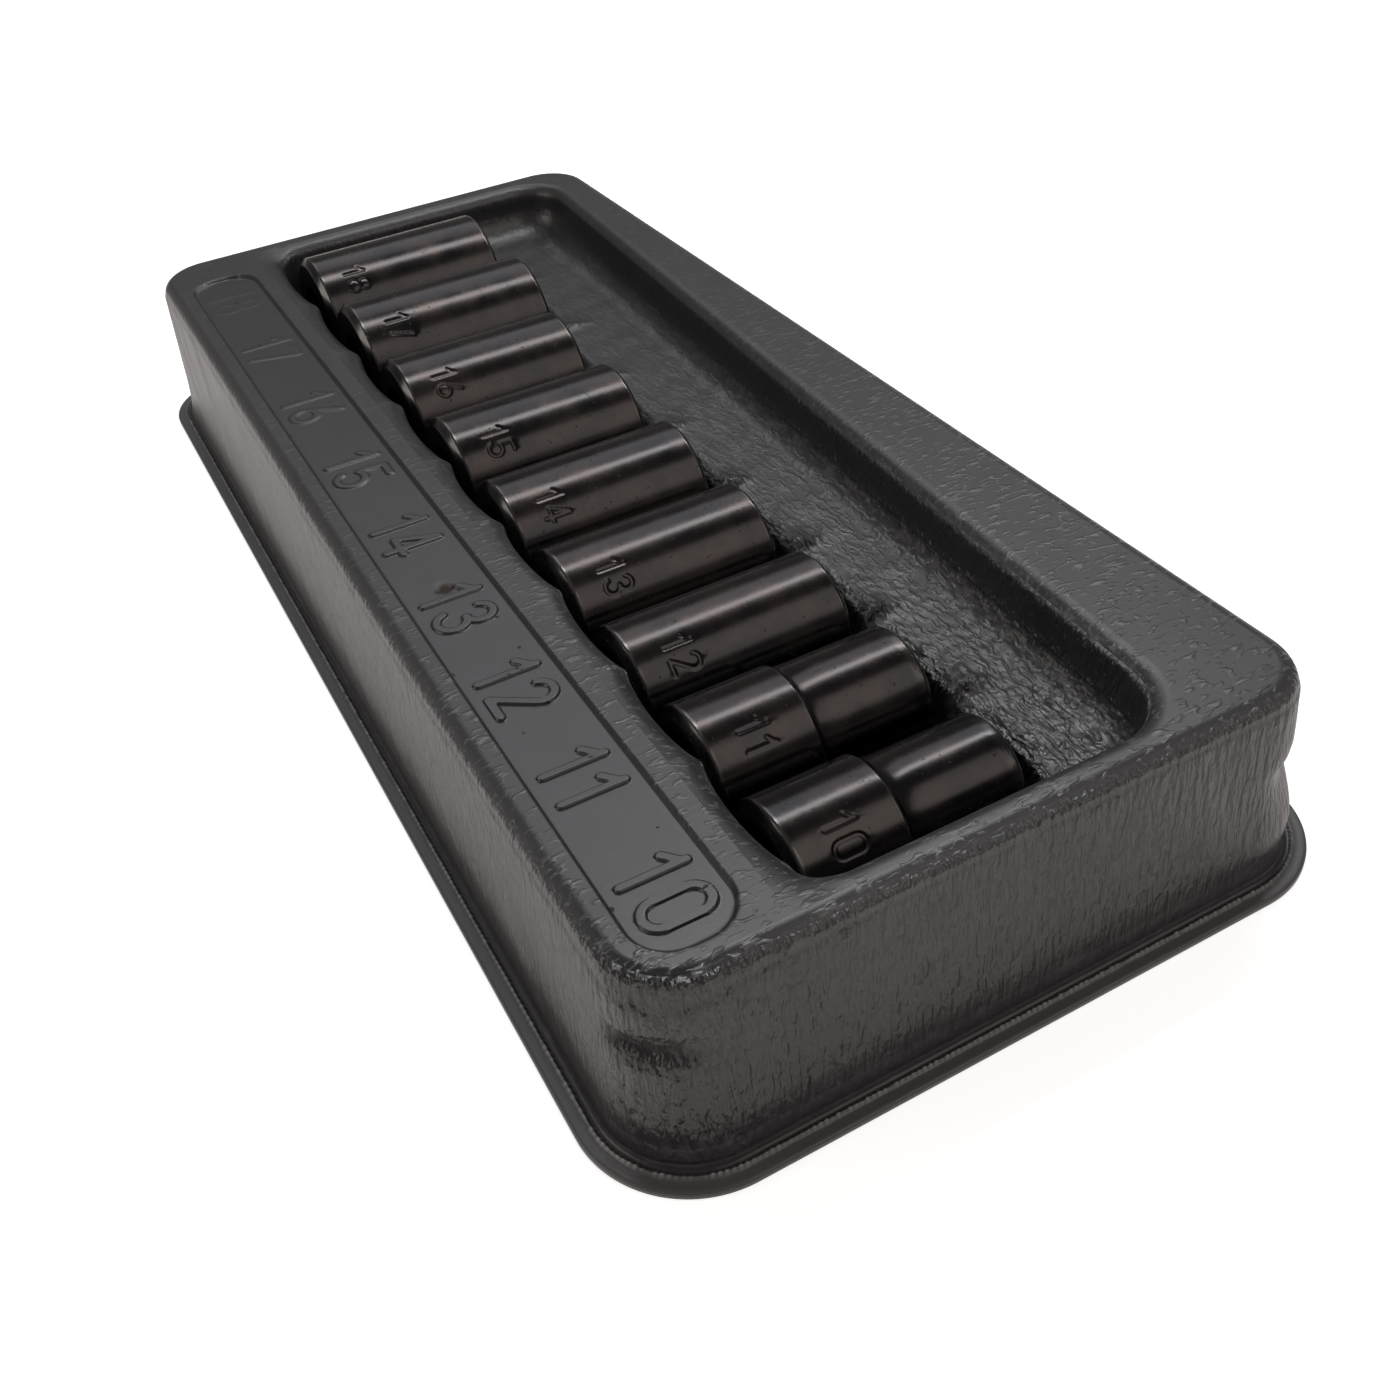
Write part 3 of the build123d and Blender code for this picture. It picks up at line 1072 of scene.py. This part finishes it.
@dataclass
class LabelStrip:
    """The front land with its shallow recess and raised numerals."""

    near_margin: float = 9.7  # from the flange's edges to the recess
    far_margin: float = 18.4
    front_margin: float = 9.5
    width: float = 12.9
    corner_radius: float = 5.6
    recess: float = 0.6
    step: float = 0.55  # width of the recess's sloping edge
    stroke: float = 0.62  # half a raised line's width
    relief: float = 0.36
    softness: tuple = (0.08, 0.3)  # of a line's edge when crisp, and how much more when faint
    numeral_y: float = TRAY_LOW[1] + 15.95
    numerals: tuple = (
        Numeral("10", 94.0, 1.0), Numeral("11", 73.8, 1.0), Numeral("12", 53.8, 1.0),
        Numeral("13", 33.8, 0.9), Numeral("14", 12.4, 0.75), Numeral("15", -10.3, 0.6),
        Numeral("16", -35.1, 0.40), Numeral("17", -61.2, 0.22), Numeral("18", -87.4, 0.10),
    )
    blister: tuple = (31.1, -35.5, 1.15)  # a small burst bubble: x, y, radius
    blister_pit: float = 0.22
    numeral_margin: float = 2.9  # of the fine grid lines beside a numeral
    coarse_step: float = 0.6
    fine_step: float = 0.135
    calmed: float = 0.93  # share of the grain that the recess lacks
    crease: float = 50.0
    under_step: int = 8  # columns of the top for one of the underside

    def depth_inside(self, x: Grid, y: Grid) -> Grid:
        """Distance inside the recess's rounded outline, below zero outside.

        Args:
            x: Along the tray.
            y: Across the tray.

        Returns:
            Distances.
        """
        near = TRAY_HIGH[0] - self.near_margin - x
        far = x - (TRAY_LOW[0] + self.far_margin)
        front = y - (TRAY_LOW[1] + self.front_margin)
        return inside_four(near, far, front, self.width - front, (self.corner_radius,) * 2)

    def raised(self, x: Grid, y: Grid) -> Grid:
        """Height of the raised numbers: a step at half a stroke from each stroke's middle.

        Args:
            x: Along the tray.
            y: Across the tray.

        Returns:
            Heights above the recess's floor.
        """
        total = np.zeros(x.shape)
        for numeral in self.numerals:
            close = np.abs(x - numeral.x - GLYPH_STEP / 2) < GLYPH_STEP
            gap = numeral_distance(numeral.text, x[close] - numeral.x, y[close] - self.numeral_y)
            soft = self.softness[0] + self.softness[1] * (1.0 - numeral.crisp)
            step = ramp(gap, self.stroke + soft, self.stroke - soft)
            total[close] = np.maximum(total[close], self.relief * numeral.crisp * step)
        return total

    def bubble(self, x: Grid, y: Grid) -> Grid:
        """Nearness to the burst bubble: 1 at its middle, falling as a bell curve."""
        middle_x, middle_y, radius = self.blister
        return np.exp(-(((x - middle_x) ** 2 + (y - middle_y) ** 2) / radius**2) ** 2)

    def height(self, x: Grid, y: Grid, inset: float = 0.0) -> Grid:
        """The land less the recess, a soft step across its edge; the underside has no numerals.

        Args:
            x: Along the tray.
            y: Across the tray.
            inset: Distance below the upper side.

        Returns:
            Heights.
        """
        sunk = self.recess * ramp(self.depth_inside(x, y) + inset, 0.0, self.step)
        if inset > 0.0:
            return RIM - inset - sunk
        pit = self.blister_pit * self.bubble(x, y) * (1.0 + 0.8 * wrinkle(2.2 * x, 2.2 * y))
        return RIM - sunk + self.raised(x, y) - pit

    def columns(self) -> Grid:
        """Grid lines along the strip, crowded over each numeral and at the recess's ends.

        Returns:
            The lines' x.
        """
        half = HALF_LENGTH - SHEET.land_inset
        near = TRAY_HIGH[0] - self.near_margin
        far = TRAY_LOW[0] + self.far_margin
        knots, steps = [-half, far - 0.1, far + 0.8], [self.coarse_step, 0.2]
        for numeral in self.numerals[::-1]:
            knots += [numeral.x - self.numeral_margin, numeral.x + GLYPH_STEP + self.numeral_margin]
            steps += [self.coarse_step, self.fine_step]
        knots += [near + 0.1, half]
        return stations(knots, [*steps, 0.25, 0.3])

    def build(self) -> bpy.types.Object:
        """Lays a grid over the land, fine across the recess, and closes it underneath.

        Returns:
            The strip.
        """
        front = TRAY_LOW[1] + self.front_margin
        back = front + self.width
        start = TRAY_LOW[1] + SHEET.land_inset
        lines = stations(
            [start, front - 0.1, front + 0.8, back - 0.9, back + 0.1, SHEET.split_y],
            [0.35, 0.16, 0.145, 0.16, 0.35],
        )
        share = (lines - start) / (SHEET.split_y - start)
        along = self.columns()
        bound = -SHEET.land_bound(along)
        x = np.repeat(along[None], len(lines), 0)
        y = bound + share[:, None] * (SHEET.split_y - bound)
        edges = [front - 0.1, front + 0.1, front + 0.8, back - 0.9, back - 0.1, back + 0.1]
        rows = np.unique([0, *np.searchsorted(lines, edges), len(lines) - 1])
        columns = thinned(len(along), self.under_step)
        points, faces = slab(x, y, self.height(x, y), self.height, rows, columns)
        place = points[:, 0], points[:, 1]
        inside = ramp(self.depth_inside(*place), -0.1, 0.5)
        return make_piece(
            "label_strip", points, faces, self.crease, smooth=inside, stain=self.bubble(*place),
            grain=SHEET.coarseness(*place) * (1.0 - self.calmed * inside),
        )


@dataclass
class SocketPocket:
    """The pocket with its row of cradles, the ledge behind them and the back land."""

    row_step: float = 0.43
    held_rows: float = 12.0  # rows over which the bend dies out towards the back edge
    under_step: int = 3  # points of the top for one of the underside, each way
    row_edge_grain: tuple = (0.9, 1.6)  # how much coarser, and over what width
    line_gap: float = 0.22  # least distance between two guide lines
    counts: tuple = (9, 10, 5, 34, 22, 22, 9, 9, 10, 12)  # rows between them
    steepness: tuple = (0.8, 2.6)  # slopes over which a level face becomes a wall
    wavy: tuple = (30.0, 95.0)  # the x over which the ledge's waves and folds grow
    pucker_rows: tuple = (3.0, 3.1)  # how far behind the noses, and half the length
    pucker_sides: tuple = (0.7, 2.4)  # reach of its steep side and its gentle one
    crease: float = 70.0

    def lines(self) -> tuple:
        """Grid of x and y with its lines along the pocket's edges.

        Rows are shares of the way between guide lines that follow the front edge, the
        noses, the back wall and the land's edge; both are then bent round the corners.

        Returns:
            Arrays of x and y.
        """
        half = HALF_LENGTH - SHEET.land_inset
        near, far = SHEET.near_x, SHEET.far_x
        knots = [far - 2.7, far - 0.2, far + 0.7, far + 4.0]
        knots += [near - 4.0, near - 0.7, near + 0.2, near + 2.7]
        steps = [0.13, 0.3, 0.15, 0.35, self.row_step, 0.35, 0.15, 0.3, 0.2]
        along = stations([-half, *knots, half], steps)
        level = np.ones(len(along))
        nose = np.interp(along, *self.nose_line())
        back = SHEET.back_wall(along)
        bound = SHEET.land_bound(along)
        front = SHEET.front_wall(along)
        guides = [
            SHEET.split_y * level, front - 0.25, front + 1.0, (PLACES[0].drive_y + 0.6) * level,
            nose - 0.4, nose + 5.0, back - 4.0, back - 0.95, np.minimum(back + 0.3, bound - 1.4),
            np.minimum(back + 2.8, bound - 0.5), bound,
        ]
        for number in range(len(guides) - 2, 0, -1):
            guides[number] = np.minimum(guides[number], guides[number + 1] - self.line_gap)
        rows = []
        for number, count in enumerate(self.counts):
            last = number == len(self.counts) - 1
            share = np.linspace(0.0, 1.0, count, endpoint=last)[:, None]
            rows.append(guides[number] + share * (guides[number + 1] - guides[number]))
        y = np.vstack(rows)
        x = np.repeat(along[None], len(y), 0)
        return self.round_corners(x, y)

    def nose_line(self) -> tuple:
        """Knots of the line along the noses, a short slope where sockets change length."""
        knots_x = [place.x + side * (place.radius - 1.0) for place in PLACES[::-1] for side in (-1, 1)]
        return knots_x, [place.nose_y for place in PLACES[::-1] for _ in (-1, 1)]

    def round_corners(self, x: Grid, y: Grid) -> tuple:
        """Bends the grid round the pocket's four corners.

        Args:
            x: Along the tray.
            y: Across the tray.

        Returns:
            The moved x and y.
        """
        half = HALF_LENGTH - SHEET.land_inset
        held = np.clip((len(x) - 1 - np.arange(len(x))) / self.held_rows, 0.0, 1.0)[:, None]
        for end, edge in ((1, SHEET.near_x), (-1, SHEET.far_x)):
            for side, radius in ((1, SHEET.back_corner), (-1, SHEET.front_corner)):
                wall = SHEET.back_wall(x) if side > 0 else SHEET.front_wall(x)
                limit = SHEET.land_bound(x) if side > 0 else -SHEET.split_y
                p = end * x - (end * edge - radius)
                q = side * y - (side * wall - radius)
                full = radius + SHEET.edge_radius
                edge_q = np.maximum(limit - (side * wall - radius), full + 0.05)
                bent_p, bent_q = bend_lines(p, q, full, half - (end * edge - radius), edge_q)
                x = x + end * (bent_p - p) * held
                wall_moved = SHEET.back_wall(x) if side > 0 else SHEET.front_wall(x)
                moved = (p > 0) & (q > 0)
                y = np.where(moved, y + held * (side * (bent_q + side * wall_moved - radius) - y), y)
        return x, y

    def build(self) -> bpy.types.Object:
        """Raises the grid to the sheet's height and closes it underneath.

        Returns:
            The pocket.
        """
        x, y = self.lines()
        z = SHEET.height(x, y)
        on_ledge = ramp(SHEET.pocket_depth(x, y), 0.8, 4.0) * ramp(z, 16.0, SHEET.ledge - 0.5)
        z = z + self.unevenness(x, y) * on_ledge
        climbs = np.gradient(z)
        runs = [np.hypot(*[np.gradient(value, axis=axis) for value in (x, y)]) for axis in (0, 1)]
        steep = np.hypot(*[climb / np.maximum(run, 1e-3) for climb, run in zip(climbs, runs)])
        rows, columns = (thinned(count, self.under_step) for count in x.shape)
        points, faces = slab(x, y, z, SHEET.height, rows, columns)
        place = points[:, 0], points[:, 1]
        extra, width = self.row_edge_grain
        wall = np.zeros(len(points))
        wall[: x.size] = ramp(steep, *self.steepness).ravel()
        return make_piece(
            "socket_pocket", points, faces, self.crease, wall=wall,
            fold=ramp(SHEET.pocket_depth(*place), -1.5, 1.5),
            grain=SHEET.coarseness(*place) * (1.0 + extra * bell(SHEET.row_depth(*place), 0.0, width)),
        )

    def unevenness(self, x: Grid, y: Grid) -> Grid:
        """Waves and folds of the ledge and the puckers between the noses.

        A pucker is a ridge with a jagged crest, steep on its near side, behind the gap
        between two neighbours; the folds grow towards the near end.

        Args:
            x: Along the tray.
            y: Across the tray.

        Returns:
            Heights above the even ledge.
        """
        near = ramp(x, *self.wavy)
        behind, half = self.pucker_rows
        total = (0.05 + 0.06 * near) * drift(x, y, 0.0 * x) + 0.13 * near * wrinkle(0.9 * x, 2.2 * y)
        for here, there in zip(PLACES, PLACES[1:]):
            middle = (here.x - here.radius + there.x + there.radius) / 2
            back = max(here.nose_y, there.nose_y) + behind
            size = 0.9 + 0.9 * ramp(middle, -60.0, 40.0)
            crest = middle - 0.6 + 0.3 * np.sin(4.4 * y) + 0.15 * np.sin(9.7 * y + middle)
            side = np.where(x > crest, *self.pucker_sides)
            total = total + size * np.exp(-np.abs(x - crest) / side) * bell(y, back, half)
        return total


# ---------------- sockets

STEPPED_NOSES = {10: 8.0, 11: 8.75}  # nose radius of the sizes that are stepped down


@dataclass
class Socket:
    """One socket on its side: square hole at the front, hexagon at the back."""

    place: SocketPlace
    nose_radius: float
    square: float = 9.6
    square_depth: float = 11.0
    drive_chamfer: float = 1.1
    nose_chamfer: float = 0.6
    lead_in: float = 0.3
    hex_clearance: float = 0.15
    hex_depth: float = 12.0
    core_radius: float = 4.1
    thick_length: float = 15.3
    sweep: float = 4.0
    around: int = 288  # a multiple of 24 puts points on every corner
    step: float = 0.3
    engraving: float = 0.12
    numeral_scale: float = 0.52
    groove: tuple = (0.75, 0.35)  # from a stroke's middle: where the cut starts, where it is whole
    facing: float = 52.0  # where the number is, degrees above level on the +X side
    crease: float = 35.0

    def rows(self, start: float, end: float) -> Grid:
        """Rings between two places along the axis, close together across the number only.

        Args:
            start: First place.
            end: Last place.

        Returns:
            The rings' places.
        """
        reach = 0.6 * GLYPH_HEIGHT * self.numeral_scale
        low, high = self.thick_length / 2 - reach, self.thick_length / 2 + reach
        if start > low:
            return np.arange(start, end, 4 * self.step)
        return stations([start, low, high, end], [2 * self.step, self.step / 2, 4 * self.step])

    def outside(self) -> Grid:
        """Outer profile from the drive face to the nose: distance along, radius, wear.

        Returns:
            Array of three columns.
        """
        radius, nose, length = self.place.radius, self.nose_radius, self.place.length
        cut = self.drive_chamfer
        points = [
            (0.0, radius - cut - 0.7, 0.1), (0.0, radius - cut - 0.12, 0.5), (0.06, radius - cut, 1.0),
            (0.3, radius - cut + 0.27, 0.25), (cut - 0.25, radius - 0.25, 0.25), (cut, radius - 0.05, 1.0),
            (cut + 0.16, radius, 0.5),
        ]
        end = length - self.nose_chamfer - 0.3
        if nose < radius - 0.01:
            step = self.thick_length
            points += [(along, radius, 0.0) for along in self.rows(cut + 0.5, step - 0.5)]
            points += [(step - 0.42, radius, 0.4), (step - 0.3, radius - 0.03, 1.0)]
            points += [(step - 0.06, radius - 0.26, 0.9)]
            share = np.linspace(0.0, 1.0, 14)
            hollow = nose + (radius - 0.3 - nose) * (1.0 - np.sqrt(1.0 - (1.0 - share) ** 2))
            points += list(zip(step + share * self.sweep, hollow, 0.0 * share))
            rest = self.rows(step + self.sweep + self.step, end)
        else:
            rest = self.rows(cut + 0.5, end)
        points += [(along, nose, 0.0) for along in rest]
        cut = self.nose_chamfer
        points += [
            (length - cut - 0.15, nose, 0.4), (length - cut, nose - 0.04, 1.0),
            (length - 0.3, nose - 0.3, 0.3), (length - 0.05, nose - cut + 0.02, 1.0),
            (length, nose - cut - 0.12, 0.5),
        ]
        return np.array(points)

    def hole(self, reach: Grid, face: float, inward: float, depth: float, mouth: float) -> list:
        """Rings of a many-sided hole from its countersink to its floor.

        The countersink is a 45 degree cone, so it meets a wall of radius r at a depth of
        mouth - r.

        Args:
            reach: Radius of the hole's wall at each angle.
            face: Where the face lies along the axis.
            inward: Direction into the hole, 1 or -1.
            depth: Depth of the hole.
            mouth: Radius of the countersink at the face.

        Returns:
            Pairs of distance along and radius, from the face inwards.
        """
        level = np.ones_like(reach)
        meet = mouth - reach
        floor = depth * level
        rings = [(face * level, mouth * level), (face + inward * meet * 0.5, mouth - meet * 0.5)]
        for share in (0.0, 0.03, 0.3, 0.97, 1.0):
            rings.append((face + inward * (meet + share * (floor - meet)), reach))
        rings.append((face + inward * floor, np.minimum(reach, self.core_radius + 0.4)))
        rings.append((face + inward * (floor + 0.2), self.core_radius * level))
        return rings

    def build(self) -> bpy.types.Object:
        """Turns the profile round the axis and runs it through both holes, closed on itself.

        Returns:
            The socket.
        """
        turn = np.arange(self.around) * 2 * np.pi / self.around
        half = (self.place.size + self.hex_clearance) / 2
        hexagon = half / np.cos((turn + np.pi / 6) % (np.pi / 3) - np.pi / 6)
        square = self.square / 2 / np.cos((turn + np.pi / 4) % (np.pi / 2) - np.pi / 4)
        outer = self.outside()
        length = self.place.length
        square_mouth = self.square / math.sqrt(2) + self.lead_in
        hex_mouth = 2 * half / math.sqrt(3) + self.lead_in
        front = self.hole(square, 0.0, 1.0, self.square_depth, square_mouth)[::-1]
        back = self.hole(hexagon, length, -1.0, self.hex_depth, hex_mouth)
        shell = [(np.full(self.around, along), np.full(self.around, radius)) for along, radius, _ in outer]
        rings = front + shell + back
        along = np.array([ring[0] for ring in rings])
        radius = np.array([ring[1] for ring in rings])
        worn = np.concatenate([np.zeros(len(front)), outer[:, 2], np.zeros(len(back))])
        worn = np.repeat(worn[:, None], self.around, 1)
        radius = self.engrave(along, radius, turn, len(front), len(shell))
        x = self.place.x + radius * np.cos(turn)
        z = self.place.axis + radius * np.sin(turn)
        y = self.place.drive_y + along
        faces = grid_faces(*x.shape, closed=True)[:, ::-1].tolist()
        name = f"{self.place.name}_dressed"
        return make_piece(name, stacked(x, y, z), faces, self.crease, worn=worn)

    def engrave(self, along: Grid, radius: Grid, turn: Grid, first: int, count: int) -> Grid:
        """Sinks the plain size number into the drive end, read round the socket.

        The number runs towards +X with its top towards the nose, as the tray's numbers do.

        Args:
            along: Distance from the drive face.
            radius: Radius before engraving.
            turn: Angle of each column.
            first: Row where the outside begins.
            count: Rows of the outside.

        Returns:
            The radius with the number cut in.
        """
        rows = slice(first, first + count)
        facing = math.radians(self.facing)
        swing = (turn - facing + np.pi) % (2 * np.pi) - np.pi
        across = -swing[None, :] * self.place.radius / self.numeral_scale + GLYPH_STEP / 2
        up = (along[rows] - self.thick_length / 2) / self.numeral_scale
        gap = numeral_distance(str(self.place.size), np.repeat(across, count, 0), up)
        cut = np.zeros_like(radius)
        cut[rows] = self.engraving * ramp(gap, *self.groove)
        return radius - cut


# ---------------- studio

@dataclass(frozen=True)
class Studio:
    """Camera at the photographed angle, pale floor and soft lamps."""

    camera_at: tuple = (190.79, -72.44, 137.20)
    lens_share: float = 1418.6 / PHOTO_SIDE  # focal length over the picture's side
    rotation: tuple = (2.04079559, 1.16367012, -0.643879787)
    sensor: float = 36.0
    floor_side: float = 6.0  # metres
    floor_z: float = -0.02
    floor_seen: float = 0.8
    floor_mirrored: float = 0.68
    world_light: float = 0.17
    floor_grey: tuple = (0.62, 0.62, 0.62, 1.0)
    warm: tuple = (1.0, 0.92, 0.89, 1.0)
    white: tuple = (1.0, 1.0, 1.0, 1.0)

    def camera(self) -> None:
        """Places the camera: the inverse of the world-to-view turn, looking down its own -Z."""
        turn = Vector(self.rotation)
        to_view = Matrix.Rotation(turn.length, 3, turn.normalized())
        pose = (to_view.transposed() @ Matrix.Diagonal((1.0, -1.0, -1.0))).to_4x4()
        pose.translation = Vector(self.camera_at) * MM
        data = bpy.data.cameras.new("photo_camera")
        data.sensor_width = self.sensor
        data.lens = self.sensor * self.lens_share
        data.clip_start = 0.01
        camera = linked("photo_camera", data)
        camera.matrix_world = pose
        bpy.context.scene.camera = camera

    def floor(self) -> None:
        """A pale floor that takes the shadow; the camera and reflections see it brighter."""
        side = np.linspace(-self.floor_side / 2, self.floor_side / 2, 9) / MM
        x, y = np.meshgrid(side, side)
        points = stacked(x, y, np.full_like(x, self.floor_z))
        floor = make_piece("floor", points, grid_faces(*x.shape).tolist(), 60.0)
        shader = Shader(bpy.data.materials.new("pale_floor"))
        rays = shader.add("ShaderNodeLightPath", {})
        seen = shader.math("MULTIPLY", rays.outputs["Is Camera Ray"], self.floor_seen)
        mirrored = shader.math("MULTIPLY", rays.outputs["Is Glossy Ray"], self.floor_mirrored)
        floor.data.materials.append(shader.finish(PRINCIPLED, {
            "Base Color": self.floor_grey, "Roughness": 1.0, "Specular IOR Level": 0.0,
            "Emission Color": shader.blend(rays.outputs["Is Camera Ray"], self.warm, self.white),
            "Emission Strength": shader.math("ADD", seen, mirrored),
        }))

    def world(self) -> None:
        """White where the camera sees it, a dim warm grey as a light."""
        bpy.context.scene.world = bpy.data.worlds.new("studio")
        shader = Shader(bpy.context.scene.world)
        seen = shader.add("ShaderNodeLightPath", {}).outputs["Is Camera Ray"]
        shader.finish("Background", {
            "Strength": shader.grade(seen, 0.0, 1.0, self.world_light, 1.0),
            "Color": shader.blend(seen, self.warm, self.white),
        })

    def lamp(self, name: str, at: tuple, target: tuple, size: tuple, power: float, colour: tuple) -> None:
        """A soft rectangular lamp.

        Args:
            name: Name of the lamp.
            at: Its place, metres.
            target: The point it faces.
            size: Width and height, metres.
            power: Watts.
            colour: Red, green and blue.
        """
        data = bpy.data.lights.new(name, "AREA")
        data.shape = "RECTANGLE"
        data.size, data.size_y = size
        data.energy = power
        data.color = colour
        lamp = linked(name, data)
        lamp.location = at
        lamp.rotation_euler = (Vector(target) - Vector(at)).to_track_quat("-Z", "Y").to_euler()

    def build(self) -> None:
        """Sets up everything that isn't part of the object."""
        self.camera()
        self.floor()
        self.world()
        middle = (0.0, 0.0, 0.0)
        self.lamp("bar", (-0.13, 0.18, 0.47), (-0.13, 0.18, 0.0), (0.07, 0.42), 1.1, (1.0, 1.0, 1.0))
        self.lamp("window", (-0.72, 0.33, 0.88), middle, (1.0, 0.55), 2.8, (0.92, 0.94, 1.0))
        self.lamp("ceiling", (0.42, 0.24, 0.52), middle, (0.42, 0.42), 0.8, (1.0, 0.93, 0.88))
        self.lamp("side", (-0.2, -0.9, 0.5), middle, (0.6, 0.4), 2.2, (1.0, 0.95, 0.9))
        bpy.context.scene.view_settings.view_transform = "Standard"


# ---------------- all together

def main() -> None:
    """Builds every piece in order and reports it."""
    logging.basicConfig(level=logging.INFO, format="%(message)s")
    plastic = GrainedPlastic().material()
    for part in (TrayRim(), LabelStrip(), SocketPocket()):
        piece = part.build()
        dress(piece, plastic, "tray", "tray")
        LOG.info("%s: %d faces", piece.name, len(piece.data.polygons))
    oxide = BlackOxide().material()
    for place in PLACES:
        piece = Socket(place, STEPPED_NOSES.get(place.size, place.radius)).build()
        dress(piece, oxide, place.name, place.name)
        LOG.info("%s: %d faces", piece.name, len(piece.data.polygons))
    Studio().build()


if __name__ == "__main__":
    main()
